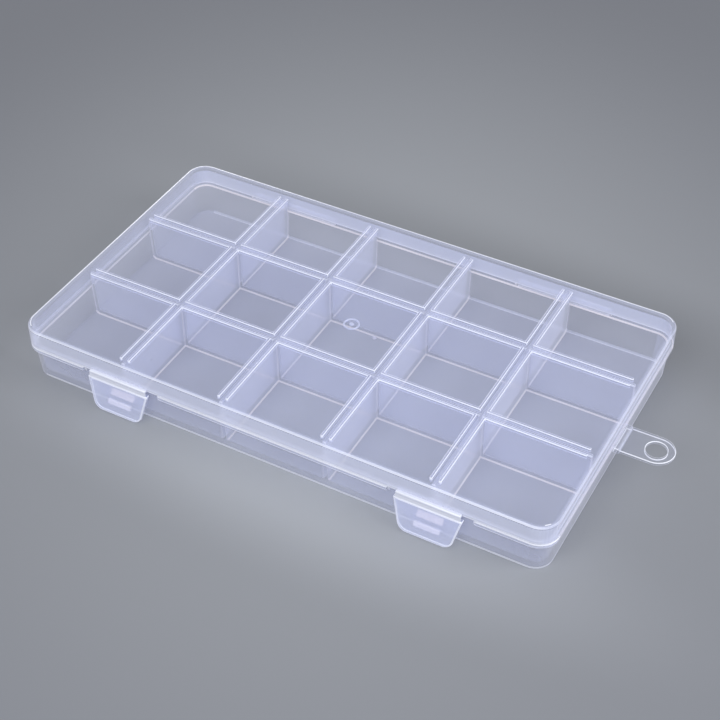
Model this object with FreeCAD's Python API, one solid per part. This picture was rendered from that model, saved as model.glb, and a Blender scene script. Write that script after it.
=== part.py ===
"""Compartment organizer: a flat hinged-lid box with fixed dividers, two snap latches and a hang tab.

Millimetres. The origin is the centre of the tray's underside, X runs along the box, Y from the
latches (front) to the hinges (back), and Z is up. The lid is closed and the latch flaps hang free.
"""
import FreeCAD, Part
import math
import os

Vector = FreeCAD.Vector

# Outside of the closed box
box_length = 175.0
box_width = 99.0
box_height = 18.8
corner_radius = 6.4

# Lid: a flat panel on a skirt
lid_thickness = 1.2
lid_edge_round = 1.0
skirt_thickness = 1.2
skirt_depth = 6.75
parting_gap = 0.15

# Tray: a floor, a leaning wall and a rim that lies flush with the skirt
floor_thickness = 1.1
foot_round = 0.5
wall_thickness = 1.2
wall_inset = 1.0
wall_lean = 0.65
rim_thickness = 1.1

# Dividers that reach from the floor to just under the lid
column_count = 5
row_count = 3
column_pitch = 34.2
row_pitch = 32.45
divider_thickness = 1.2
divider_lid_gap = 0.3

# Ribs under the lid that stand beside the dividers' tops, round each compartment
rib_width = 0.9
rib_depth = 1.0
rib_divider_gap = 0.35
rib_end_gap = 2.2

# Film hinges at the back, each between a bar on the lid and a bar on the tray
hinge_end_distance = 38.3
hinge_width = 31.0
hinge_bar_reach = 0.5
hinge_bar_height = 1.0
hinge_bar_gap = 0.6
hinge_drop = 0.1
film_thickness = 0.35
film_bend_radius = 0.7

# Latches at the front: a bar on the lid, a film and a flap with a hook
latch_end_distance = 36.0
latch_bar_width = 20.0
latch_bar_reach = 1.3
latch_bar_height = 1.1
latch_film_length = 1.1
latch_film_inset = 0.1
flap_top_width = 21.6
flap_foot_width = 16.0
flap_length = 10.7
flap_thickness = 1.0
flap_corner_radius = 3.2
flap_tilt_degrees = 10.0
flap_rail_height = 1.3
flap_rail_step = 0.4

# Hook inside the flap, and the catch on the tray's wall that it goes under
hook_width = 8.2
hook_drop = 6.4
hook_reach = 1.0
hook_nose = 0.5
hook_height = 1.9
hook_rise = 0.2
catch_width = 8.2
catch_clearance = 0.4
catch_release_gap = 0.4
catch_nose = 0.4
catch_height = 1.9

# Gaps in the rim, with rounded ends, where the hinges and latches pass
latch_rim_gap = 26.5
hinge_rim_clearance = 0.6

# Hang tab on the right end of the rim
tab_width = 11.0
tab_hole_radius = 3.15
tab_hole_reach = 11.0
tab_thickness = 1.0
tab_root_length = 1.8
tab_root_height = 1.8
tab_step = 0.25

# Levels and faces that follow from the sizes above
half_length = box_length / 2
half_width = box_width / 2
lid_underside = box_height - lid_thickness
skirt_bottom = box_height - skirt_depth
rim_top = skirt_bottom - parting_gap
rim_bottom = rim_top - rim_thickness
divider_top = lid_underside - divider_lid_gap
rib_offset = divider_thickness / 2 + rib_divider_gap + rib_width / 2
rib_end_x = half_length - skirt_thickness - rib_end_gap - rib_width / 2
rib_end_y = half_width - skirt_thickness - rib_end_gap - rib_width / 2
hinge_centre = half_length - hinge_end_distance
hinge_level = skirt_bottom - hinge_drop
hinge_bar_face = half_width + hinge_bar_reach
hinge_axis_y = hinge_bar_face + math.pi / 2 * film_bend_radius
latch_centre = half_length - latch_end_distance
latch_bar_face = half_width + latch_bar_reach
latch_film_face = latch_bar_face - latch_film_inset
flap_top = skirt_bottom - latch_film_length
latch_axis_y = -(latch_film_face - film_thickness / 2)
latch_axis_z = skirt_bottom - latch_film_length / 2
tilt = math.radians(flap_tilt_degrees)
sides = {"left": -1, "right": 1}
columns = [(i - column_count / 2) * column_pitch for i in range(1, column_count)]
rows = [(i - row_count / 2) * row_pitch for i in range(1, row_count)]


def block(low, high):
    """Box between two opposite corners."""
    size = Vector(*high) - Vector(*low)
    return Part.makeBox(size.x, size.y, size.z, Vector(*low))


def outline(inset, level):
    """Round-cornered outline of the box, drawn in by inset, at one level."""
    x = half_length - inset
    y = half_width - inset
    radius = corner_radius - inset
    centres = [(1, 1), (-1, 1), (-1, -1), (1, -1)]
    arcs = []
    for quarter, (sx, sy) in enumerate(centres):
        centre = Vector(sx * (x - radius), sy * (y - radius), level)
        circle = Part.Circle(centre, Vector(0, 0, 1), radius)
        start = quarter * math.pi / 2
        arcs.append(Part.Arc(circle, start, start + math.pi / 2).toShape())
    edges = []
    for arc, following in zip(arcs, arcs[1:] + arcs[:1]):
        edges.append(arc)
        edges.append(Part.makeLine(arc.Vertexes[-1].Point, following.Vertexes[0].Point))
    return Part.Wire(edges)


def prism(inset, bottom, top):
    """Upright solid on the box's outline."""
    return Part.Face(outline(inset, bottom)).extrude(Vector(0, 0, top - bottom))


def leaning(thickness, bottom, top):
    """Solid under the tray wall's outer face, drawn in by thickness, between two levels."""
    wires = []
    for level in (bottom, top):
        lean = wall_lean * (1 - level / rim_top)
        wires.append(outline(wall_inset + lean + thickness, level))
    return Part.makeLoft(wires, True, True)


def profile(points, x_low, x_high):
    """Solid of a closed (y, z) outline that runs along X."""
    corners = [Vector(x_low, y, z) for y, z in points]
    face = Part.Face(Part.makePolygon(corners + corners[:1]))
    return face.extrude(Vector(x_high - x_low, 0, 0))


def rib(start, end):
    """Rib under the lid between two (x, y) points, rounded about both of them."""
    radius = rib_width / 2
    bottom = lid_underside - rib_depth
    run = Vector(end[0] - start[0], end[1] - start[1], 0)
    body = Part.makeBox(run.Length, rib_width, rib_depth, Vector(0, -radius, bottom))
    for x in (0, run.Length):
        body = body.fuse(Part.makeCylinder(radius, rib_depth, Vector(x, 0, bottom)))
    body.rotate(Vector(0, 0, 0), Vector(0, 0, 1), math.degrees(math.atan2(run.y, run.x)))
    body.translate(Vector(start[0], start[1], 0))
    return body


def rim_gap(centre, width, side):
    """Tool that takes the rim away over width, and rounds the rim's ends towards the box."""
    wall = half_width - wall_inset
    reach = wall_inset
    inner = width / 2
    outer = inner + reach
    bend = reach * math.sin(math.pi / 4)
    far = half_width + reach
    edges = [
        Part.makeLine(Vector(inner, 0, 0), Vector(-inner, 0, 0)),
        Part.makeLine(Vector(-inner, 0, 0), Vector(-inner, wall, 0)),
        Part.Arc(Vector(-inner, wall, 0), Vector(-outer + bend, wall + bend, 0),
                 Vector(-outer, half_width, 0)).toShape(),
        Part.makeLine(Vector(-outer, half_width, 0), Vector(-outer, far, 0)),
        Part.makeLine(Vector(-outer, far, 0), Vector(outer, far, 0)),
        Part.makeLine(Vector(outer, far, 0), Vector(outer, half_width, 0)),
        Part.Arc(Vector(outer, half_width, 0), Vector(outer - bend, wall + bend, 0),
                 Vector(inner, wall, 0)).toShape(),
        Part.makeLine(Vector(inner, wall, 0), Vector(inner, 0, 0)),
    ]
    tool = Part.Face(Part.Wire(edges)).extrude(Vector(0, 0, rim_thickness))
    if side < 0:
        tool.rotate(Vector(0, 0, 0), Vector(0, 0, 1), 180)
    tool.translate(Vector(centre, 0, rim_bottom))
    return tool


def flap_point(drop, depth):
    """Place (y, z) on the tilted flap: drop down from its top edge, depth in from its outer face."""
    y = -latch_bar_face - drop * math.sin(tilt) + depth * math.cos(tilt)
    z = flap_top - drop * math.cos(tilt) - depth * math.sin(tilt)
    return (y, z)


tray_outside = leaning(0, 0, rim_top)
tray_inside = leaning(wall_thickness, floor_thickness, rim_top)


# Tray floor, with its foot edge rounded
def tray_floor():
    floor = leaning(0, 0, floor_thickness)
    foot = [edge for edge in floor.Edges if edge.BoundBox.ZMax < floor_thickness / 2]
    return floor.makeFillet(foot_round, foot)


def tray_wall():
    return leaning(0, floor_thickness, rim_top).cut(tray_inside)


# The rim round the top of the wall is in four stretches, with room for the hinges and latches
def tray_rim():
    rim = prism(0, rim_bottom, rim_top).cut(tray_outside)
    for side in sides.values():
        rim = rim.cut(rim_gap(side * latch_centre, latch_rim_gap, -1))
        rim = rim.cut(rim_gap(side * hinge_centre, hinge_width + 2 * hinge_rim_clearance, 1))
    return Part.makeCompound(rim.Solids)


# Space that the dividers fill: the tray's inside, carried straight up to the dividers' tops
def divider_space():
    above = prism(wall_inset + wall_thickness, rim_top, divider_top)
    return tray_inside.fuse(above)


def column_divider(x):
    half = divider_thickness / 2
    wall = block((x - half, -half_width, floor_thickness), (x + half, half_width, divider_top))
    return wall.common(divider_space()).removeSplitter()


# A row divider is in stretches, one between each two columns and one at each end
def row_divider(y):
    half = divider_thickness / 2
    ends = [-half_length] + columns + [half_length]
    stretches = []
    for start, end in zip(ends, ends[1:]):
        wall = block((start + half, y - half, floor_thickness), (end - half, y + half, divider_top))
        stretches.append(wall.common(divider_space()).removeSplitter())
    return Part.makeCompound(stretches)


def lid_panel():
    panel = prism(0, lid_underside, box_height)
    top = [edge for edge in panel.Edges if edge.BoundBox.ZMin > box_height - lid_thickness / 2]
    return panel.makeFillet(lid_edge_round, top)


def lid_skirt():
    return prism(0, skirt_bottom, lid_underside).cut(prism(skirt_thickness, skirt_bottom, lid_underside))


# Ribs of one compartment: one along each divider beside it, joined at the corners and free at the skirt
def compartment_ribs(column, row):
    x_ends = [-rib_end_x] + [x + s * rib_offset for x in columns for s in (-1, 1)] + [rib_end_x]
    y_ends = [-rib_end_y] + [y + s * rib_offset for y in rows for s in (-1, 1)] + [rib_end_y]
    left, right = x_ends[2 * column:2 * column + 2]
    front, back = y_ends[2 * row:2 * row + 2]
    ribs = []
    if column > 0:
        ribs.append(rib((left, front), (left, back)))
    if column < column_count - 1:
        ribs.append(rib((right, front), (right, back)))
    if row > 0:
        ribs.append(rib((left, front), (right, front)))
    if row < row_count - 1:
        ribs.append(rib((left, back), (right, back)))
    return ribs[0].multiFuse(ribs[1:]).removeSplitter()


def lid_ribs(row):
    return Part.makeCompound([compartment_ribs(column, row) for column in range(column_count)])


def hinge_lid_bar(x):
    bottom = hinge_level + hinge_bar_gap / 2
    low = (x - hinge_width / 2, half_width, bottom)
    return block(low, (x + hinge_width / 2, hinge_bar_face, bottom + hinge_bar_height))


# The tray's bar reaches in to the wall below the rim's level
def hinge_tray_bar(x):
    top = hinge_level - hinge_bar_gap / 2
    low = (x - hinge_width / 2, half_width - wall_inset - wall_thickness, top - hinge_bar_height)
    return block(low, (x + hinge_width / 2, hinge_bar_face, top)).cut(tray_outside)


# Closed, the film bends round in a half circle from one bar's face to the other's
def hinge_film(x):
    start = Vector(x - hinge_width / 2, hinge_bar_face, hinge_level)
    along = Vector(1, 0, 0)
    outer = Part.makeCylinder(film_bend_radius + film_thickness / 2, hinge_width, start, along)
    inner = Part.makeCylinder(film_bend_radius - film_thickness / 2, hinge_width, start, along)
    reach = 2 * film_bend_radius
    low = (x - hinge_width / 2, hinge_bar_face, hinge_level - reach)
    high = (x + hinge_width / 2, hinge_bar_face + reach, hinge_level + reach)
    return outer.cut(inner).common(block(low, high))


def latch_bar(x):
    low = (x - latch_bar_width / 2, -latch_bar_face, skirt_bottom)
    return block(low, (x + latch_bar_width / 2, -half_width, skirt_bottom + latch_bar_height))


def latch_film(x):
    low = (x - latch_bar_width / 2, -latch_film_face, flap_top)
    return block(low, (x + latch_bar_width / 2, -latch_film_face + film_thickness, skirt_bottom))


# The flap is drawn upright on its outer face, tilted about its top edge and cut level at the top
def latch_flap(x):
    inner = flap_thickness + flap_rail_step
    corners = [(-flap_top_width, inner), (flap_top_width, inner), (flap_top_width, 0),
               (flap_foot_width, -flap_length), (-flap_foot_width, -flap_length), (-flap_top_width, 0)]
    points = [Vector(width / 2, 0, z) for width, z in corners]
    plate = Part.Face(Part.makePolygon(points + points[:1])).extrude(Vector(0, inner, 0))
    foot = [e for e in plate.Edges if e.BoundBox.ZMax < -flap_length / 2 and e.BoundBox.YLength > flap_thickness]
    plate = plate.makeFillet(flap_corner_radius, foot)
    below_rail = block((-flap_top_width, flap_thickness, -flap_length), (flap_top_width, inner, -flap_rail_height))
    flap = plate.cut(below_rail)
    flap.rotate(Vector(0, 0, 0), Vector(1, 0, 0), -flap_tilt_degrees)
    flap.translate(Vector(x, -latch_bar_face, flap_top))
    above = block((x - flap_top_width, -box_width, flap_top), (x + flap_top_width, 0, flap_top + flap_length))
    return flap.cut(above).removeSplitter()


def latch_hook(x):
    tip = flap_thickness + hook_reach
    points = [
        flap_point(hook_drop, flap_thickness),
        flap_point(hook_drop + hook_rise, tip),
        flap_point(hook_drop + hook_rise + hook_nose, tip),
        flap_point(hook_drop + hook_height, flap_thickness),
    ]
    return profile(points, x - hook_width / 2, x + hook_width / 2)


# The catch stands clear of the hanging hook's tip, and just above the hook
def catch(x):
    tip = flap_point(hook_drop + hook_rise, flap_thickness + hook_reach)[0] + catch_release_gap
    bottom = flap_point(hook_drop, flap_thickness)[1] + catch_clearance
    root = -(half_width - wall_inset - wall_lean - wall_thickness)
    wall = -(half_width - wall_inset)
    points = [(root, bottom), (tip, bottom), (tip, bottom + catch_nose),
              (wall, bottom + catch_height), (root, bottom + catch_height)]
    return profile(points, x - catch_width / 2, x + catch_width / 2).cut(tray_outside)


# A thick root on the rim's outer face, then a thinner tab with a round end about its hole
def hang_tab():
    root = block((half_length, -tab_width / 2, rim_top - tab_root_height),
                 (half_length + tab_root_length, tab_width / 2, rim_top))
    hole = half_length + tab_hole_reach
    top = rim_top - tab_step
    bottom = top - tab_thickness
    plate = block((half_length, -tab_width / 2, bottom), (hole, tab_width / 2, top))
    end = Part.makeCylinder(tab_width / 2, tab_thickness, Vector(hole, 0, bottom))
    tab = root.fuse(plate).fuse(end)
    return tab.cut(Part.makeCylinder(tab_hole_radius, tab_thickness, Vector(hole, 0, bottom))).removeSplitter()


pieces = {
    "tray_floor": tray_floor(),
    "tray_wall": tray_wall(),
    "tray_rim": tray_rim(),
    "lid_panel": lid_panel(),
    "lid_skirt": lid_skirt(),
    "hang_tab": hang_tab(),
}
for number, x in enumerate(columns, 1):
    pieces[f"column_divider_{number}"] = column_divider(x)
for number, y in enumerate(rows, 1):
    pieces[f"row_divider_{number}"] = row_divider(y)
for row in range(row_count):
    pieces[f"lid_ribs_row_{row + 1}"] = lid_ribs(row)
for name, side in sides.items():
    pieces[f"hinge_lid_bar_{name}"] = hinge_lid_bar(side * hinge_centre)
    pieces[f"hinge_tray_bar_{name}"] = hinge_tray_bar(side * hinge_centre)
    pieces[f"hinge_film_{name}"] = hinge_film(side * hinge_centre)
    pieces[f"latch_bar_{name}"] = latch_bar(side * latch_centre)
    pieces[f"latch_film_{name}"] = latch_film(side * latch_centre)
    pieces[f"latch_flap_{name}"] = latch_flap(side * latch_centre)
    pieces[f"latch_hook_{name}"] = latch_hook(side * latch_centre)
    pieces[f"latch_catch_{name}"] = catch(side * latch_centre)

os.makedirs("parts", exist_ok=True)
for name, shape in pieces.items():
    shape.exportStep(f"parts/{name}.step")
    print(name, len(shape.Solids), "solid", round(shape.Volume, 2), "mm3", "valid", shape.isValid())
print("hinge axis y, z:", round(hinge_axis_y, 4), round(hinge_level, 4))
print("latch axis y, z:", round(latch_axis_y, 4), round(latch_axis_z, 4))
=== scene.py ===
# %% [markdown]
# # A milky compartment box
# This lesson dresses a flat storage box with a hinged lid. On the real object the tray, the lid and
# the two latch flaps are thin polypropylene mouldings, held together by films of the same plastic.
# The frame gives the places and main sizes. Each moulding is modelled afresh, because a moulded box has
# rounded edges and fillets, and those lines are most of what the eye sees on a translucent thing.

# %% Load the frame
from bisect import bisect
from math import atan2, copysign, cos, degrees, pi, radians, sin, tan

import bmesh
import bpy
from mathutils import Matrix, Vector
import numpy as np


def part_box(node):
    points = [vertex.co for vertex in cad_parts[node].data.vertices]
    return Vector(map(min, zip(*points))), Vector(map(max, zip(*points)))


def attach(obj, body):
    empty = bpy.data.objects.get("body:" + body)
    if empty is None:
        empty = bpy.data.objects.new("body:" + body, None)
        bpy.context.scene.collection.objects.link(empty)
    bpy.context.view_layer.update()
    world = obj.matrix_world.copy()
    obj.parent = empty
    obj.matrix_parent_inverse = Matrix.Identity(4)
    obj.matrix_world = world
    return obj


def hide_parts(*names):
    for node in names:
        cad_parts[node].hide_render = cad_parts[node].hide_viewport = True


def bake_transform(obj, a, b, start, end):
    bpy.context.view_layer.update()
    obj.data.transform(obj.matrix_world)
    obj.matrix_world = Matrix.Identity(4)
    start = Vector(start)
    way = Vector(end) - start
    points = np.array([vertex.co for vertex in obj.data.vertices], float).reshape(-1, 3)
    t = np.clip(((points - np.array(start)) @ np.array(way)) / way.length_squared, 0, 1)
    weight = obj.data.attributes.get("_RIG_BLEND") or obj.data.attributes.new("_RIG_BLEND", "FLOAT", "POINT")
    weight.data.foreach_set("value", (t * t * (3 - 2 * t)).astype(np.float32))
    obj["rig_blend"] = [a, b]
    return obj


scene = bpy.context.scene
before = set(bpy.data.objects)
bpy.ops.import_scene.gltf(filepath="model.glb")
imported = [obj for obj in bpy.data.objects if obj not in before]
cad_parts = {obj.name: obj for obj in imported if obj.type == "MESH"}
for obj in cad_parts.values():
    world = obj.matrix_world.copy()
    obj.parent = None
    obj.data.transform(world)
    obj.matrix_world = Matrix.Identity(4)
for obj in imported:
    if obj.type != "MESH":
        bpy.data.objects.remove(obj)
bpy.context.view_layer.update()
mm = 0.001
sides = ("left", "right")

# %% [markdown]
# ## Camera
# The camera stands in front of the box, to its right and well above it, with a longish lens. The point
# that it looks at, two angles and a distance place it, so each can be nudged by itself.

# %% Camera
aim = Vector((10.43, -13.76, 18.8)) * mm
camera_azimuth = radians(28.83)
camera_elevation = radians(42.04)
camera_roll = radians(-0.256)
camera_distance = 452.3 * mm
lens_length = 76.8
nearest_view = 10 * mm

camera_data = bpy.data.cameras.new("camera")
camera_data.lens = lens_length
camera_data.clip_start = nearest_view
camera = bpy.data.objects.new("camera", camera_data)
scene.collection.objects.link(camera)
way_back = Vector((sin(camera_azimuth), -cos(camera_azimuth), tan(camera_elevation)))
way_back.normalize()
stand = Matrix.Translation(aim + way_back * camera_distance)
turn = way_back.to_track_quat("Z", "Y").to_matrix().to_4x4()
camera.matrix_world = stand @ turn @ Matrix.Rotation(camera_roll, 4, "Z")
scene.camera = camera
print("camera at", [round(value / mm, 1) for value in camera.location])

# %% [markdown]
# ## Node helpers
# Most nodes here do one sum or mix two things. Small helpers place such a node, give it its values or
# links and hand back its result, so that a material can be read like a formula.

# %% Node helpers
mix_sockets = {"FLOAT": (2, 3, 0), "RGBA": (6, 7, 2)}


def new_material(name):
    """A material, its node tree and its shader."""
    material = bpy.data.materials.new(name)
    material.use_nodes = True
    tree = material.node_tree
    return material, tree, tree.nodes["Principled BSDF"]


def add_node(tree, kind, inputs=None, **settings):
    """A new node with its settings, and with values or links for its inputs."""
    node = tree.nodes.new(kind)
    for name, value in settings.items():
        setattr(node, name, value)
    for name, value in (inputs or {}).items():
        if isinstance(value, bpy.types.NodeSocket):
            tree.links.new(value, node.inputs[name])
        else:
            node.inputs[name].default_value = value
    return node


def maths(tree, operation, *values, clamp=False):
    """The result of a sum on values or links."""
    inputs = dict(enumerate(values))
    return add_node(tree, "ShaderNodeMath", inputs, operation=operation, use_clamp=clamp).outputs[0]


def between(tree, kind, share, first, second):
    """A number or colour that lies a share of the way from the first to the second."""
    first_in, second_in, result_out = mix_sockets[kind]
    inputs = {0: share, first_in: first, second_in: second}
    return add_node(tree, "ShaderNodeMix", inputs, data_type=kind).outputs[result_out]


print("mixes:", list(mix_sockets))

# %% [markdown]
# ## Stage and light
# The box lies on grey paper, with a painted pool of light round it: the paper's colour grows darker away
# from the pool's middle. Light that has passed through the plastic brightens the paper under the box and
# along its front, and some is missing at its left end and behind it. Tracing that light would be slow and
# grainy, so these are painted glows and painted shade, each a soft ellipse in the paper's colour. One soft
# lamp hangs in front of the box and another to its right, and a weak one, low behind its left, draws the
# far edges. The rest of the light comes evenly from all round, so that a colour shows about as it is
# written.

# %% Paper spots
paper_material, paper_tree, paper_shader = new_material("paper")
paper_place = add_node(paper_tree, "ShaderNodeTexCoord")


def soft_spot(x, y, long, wide, turn=0.0):
    """A mask on the paper: 1 in the middle of an ellipse in mm, falling softly to 0 at its edge."""
    spot_map = add_node(paper_tree, "ShaderNodeMapping", {
        "Vector": paper_place.outputs["Object"], "Location": (x * mm, y * mm, 0),
        "Rotation": (0, 0, radians(turn)), "Scale": (long * mm, wide * mm, 1)},
        vector_type="TEXTURE")
    spot = add_node(paper_tree, "ShaderNodeTexGradient", {
        "Vector": spot_map.outputs[0]}, gradient_type="SPHERICAL")
    soft = add_node(paper_tree, "ShaderNodeMapRange", {
        "Value": spot.outputs["Fac"]}, interpolation_type="SMOOTHSTEP")
    return soft.outputs["Result"]


# The wide pool is painted light, and the spots below it are painted glows and painted shade.
painted_light_pool = soft_spot(x=-14.6, y=28.2, long=212.5, wide=259.2, turn=26.6)
front_glow = soft_spot(x=7.3, y=-48.7, long=144.4, wide=39.3, turn=-2.2)
back_shade = soft_spot(x=35.0, y=62.0, long=190.0, wide=34.0, turn=-5.0)
under_glow = soft_spot(x=25.0, y=-5.0, long=85.0, wide=55.0)
left_shade = soft_spot(x=-53.0, y=2.0, long=45.0, wide=52.0)
print("paper nodes for the spots:", len(paper_tree.nodes))

# %% Paper tones
# Paper tones in and beyond the painted pool of light, and the shares of the painted glows and shade.
paper_middle = (0.283, 0.298, 0.327, 1.0)
paper_far = (0.179, 0.188, 0.213, 1.0)
front_glow_share = 0.38
under_glow_share = 0.25
left_shade_share = -0.16
back_shade_share = -0.21

painted_pool_tone = between(paper_tree, "RGBA", painted_light_pool, paper_far, paper_middle)
near_light = 1.0
shares = [(front_glow, front_glow_share), (under_glow, under_glow_share), (left_shade, left_shade_share)]
for spot, share in shares:
    near_light = maths(paper_tree, "MULTIPLY_ADD", spot, share, near_light)
far_light = maths(paper_tree, "MULTIPLY_ADD", back_shade, back_shade_share, 1.0)
paper_light = maths(paper_tree, "MULTIPLY", near_light, far_light)
paper_tone = add_node(paper_tree, "ShaderNodeVectorMath", {
    0: painted_pool_tone, "Scale": paper_light}, operation="SCALE")
print("paper nodes:", len(paper_tree.nodes))

# %% Paper
paper_reach = 3.0
paper_drop = 0.02 * mm
paper_roughness = 0.9
paper_gloss = 0.1
clear_bounces = 96

scene.view_settings.view_transform = "Standard"
scene.cycles.transparent_max_bounces = clear_bounces
paper_tree.links.new(paper_tone.outputs[0], paper_shader.inputs["Base Color"])
paper_shader.inputs["Roughness"].default_value = paper_roughness
paper_shader.inputs["Specular IOR Level"].default_value = paper_gloss
paper_mesh = bpy.data.meshes.new("paper")
paper_bm = bmesh.new()
bmesh.ops.create_circle(paper_bm, cap_ends=True, radius=paper_reach, segments=64)
paper_bm.to_mesh(paper_mesh)
paper_bm.free()
paper_mesh.materials.append(paper_material)
paper = bpy.data.objects.new("paper", paper_mesh)
scene.collection.objects.link(paper)
paper.location.z = -paper_drop
print("paper reaches", paper_reach, "m")

# %% Lamps and room
world_level = 0.42
lamps = {
    "front_softbox": dict(place=Vector((0.0, -0.70, 0.70)), power=6.5, size=0.6),
    "right_softbox": dict(place=Vector((0.75, 0.06, 0.46)), power=5.3, size=0.5),
    "edge_softbox": dict(place=Vector((-0.55, 0.60, 0.20)), power=1.8, size=0.4),
}

world = bpy.data.worlds.new("soft_room")
world.use_nodes = True
room = world.node_tree.nodes["Background"]
room.inputs["Color"].default_value = (1.0, 1.0, 1.0, 1.0)
room.inputs["Strength"].default_value = world_level
scene.world = world
for lamp_name, values in lamps.items():
    lamp_data = bpy.data.lights.new(lamp_name, "AREA")
    lamp_data.energy = values["power"]
    lamp_data.size = values["size"]
    lamp = bpy.data.objects.new(lamp_name, lamp_data)
    scene.collection.objects.link(lamp)
    lamp.location = values["place"]
    lamp.rotation_euler = values["place"].to_track_quat("Z", "Y").to_euler()
print("lamps:", list(lamps), "room:", world_level)

# %% [markdown]
# ## Milky plastic
# Thin polypropylene scatters a little blue light and lets the rest through. A scattering volume would do
# that, but it is slow and grainy. Here each face is a faint veil: the shader's Alpha says how milky it
# is, and the colour is that of the scattered light. Rounded edges and fillets are deep and gather light,
# so faces there carry a mark that makes the veil thicker and whiter: partly the deeper plastic, partly a
# painted highlight, and the fillets' warm mark is a painted warm highlight. Two node groups hold what all
# the finishes share: the cloudy drift of the melt, and the edge lines.

# %% Group helper
number = "NodeSocketFloat"
colour = "NodeSocketColor"
vector = "NodeSocketVector"


def new_group(name, inputs, outputs):
    """An empty shader node group with its sockets, and its two end nodes."""
    group = bpy.data.node_groups.new(name, "ShaderNodeTree")
    for way, sockets in (("INPUT", inputs), ("OUTPUT", outputs)):
        for socket_name, socket_type in sockets.items():
            group.interface.new_socket(socket_name, in_out=way, socket_type=socket_type)
    start = group.nodes.new("NodeGroupInput")
    end = group.nodes.new("NodeGroupOutput")
    return group, start, end


print("socket types:", number, colour, vector)

# %% Group: cloudy melt
middle_noise = 0.5
drift_detail = 3.0
grain_scale = 500.0
grain_detail = 2.0

cloud, cloud_in, cloud_out = new_group(
    "cloudy_melt", {"Place": vector, "Scale": number, "Drift": number}, {"Cloud": number, "Grain": number})
drift = add_node(cloud, "ShaderNodeTexNoise", {
    "Vector": cloud_in.outputs["Place"], "Scale": cloud_in.outputs["Scale"], "Detail": drift_detail})
spread = maths(cloud, "SUBTRACT", drift.outputs["Fac"], middle_noise)
strength = maths(cloud, "MULTIPLY_ADD", spread, cloud_in.outputs["Drift"], 1.0)
grain = add_node(cloud, "ShaderNodeTexNoise", {
    "Vector": cloud_in.outputs["Place"], "Scale": grain_scale, "Detail": grain_detail})
cloud.links.new(strength, cloud_out.inputs["Cloud"])
cloud.links.new(grain.outputs["Fac"], cloud_out.inputs["Grain"])
print("cloudy melt nodes:", len(cloud.nodes))

# %% Group: edge lines
whitening_power = 2.0

edge_group, edge_in, edge_out = new_group(
    "edge_lines",
    {"Edge": number, "Foot": number, "Cloud": number, "Wall Color": colour, "Edge Color": colour,
     "Foot Color": colour, "Wall Veil": number, "Edge Veil": number, "Foot Veil": number},
    {"Color": colour, "Veil": number})
given = edge_in.outputs
wall_veil = maths(edge_group, "MULTIPLY", given["Wall Veil"], given["Cloud"])
whiter = maths(edge_group, "POWER", given["Edge"], whitening_power)
edge_tint = between(edge_group, "RGBA", whiter, given["Wall Color"], given["Edge Color"])
foot_tint = between(edge_group, "RGBA", given["Foot"], edge_tint, given["Foot Color"])
edge_veil = between(edge_group, "FLOAT", given["Edge"], wall_veil, given["Edge Veil"])
foot_veil = between(edge_group, "FLOAT", given["Foot"], edge_veil, given["Foot Veil"])
edge_group.links.new(foot_tint, edge_out.inputs["Color"])
edge_group.links.new(foot_veil, edge_out.inputs["Veil"])
print("groups:", [group.name for group in bpy.data.node_groups])

# %% [markdown]
# ## The finishes
# A face seen at a slant shows more plastic, so Layer Weight thickens its veil, and it pales its colour
# with a painted sheen of the room's light. The four finishes differ in how milky their walls, edges and
# feet are. The latch flaps hang close in front of the hooks and catches, and a shadow as deep as their
# veil would hide these, so it is lightened.

# %% The plastic itself
wall_colour = (0.66, 0.71, 0.97, 1.0)
# The colour that slanted faces pale towards is a painted sheen of the room's light.
sheen_colour = (0.80, 0.82, 0.97, 1.0)
# The whiter edge colour is partly the deeper plastic and partly a painted highlight, and the warm foot
# colour is a painted warm highlight.
edge_colour = (0.87, 0.90, 1.00, 1.0)
warm_highlight_colour = (0.95, 0.88, 0.91, 1.0)
cloud_scale = 45.0
cloud_drift = 0.5
slant_power = 3.0
sheen_paling = 2.2
grain_roughness = 0.05
plastic_ior = 1.49


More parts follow.
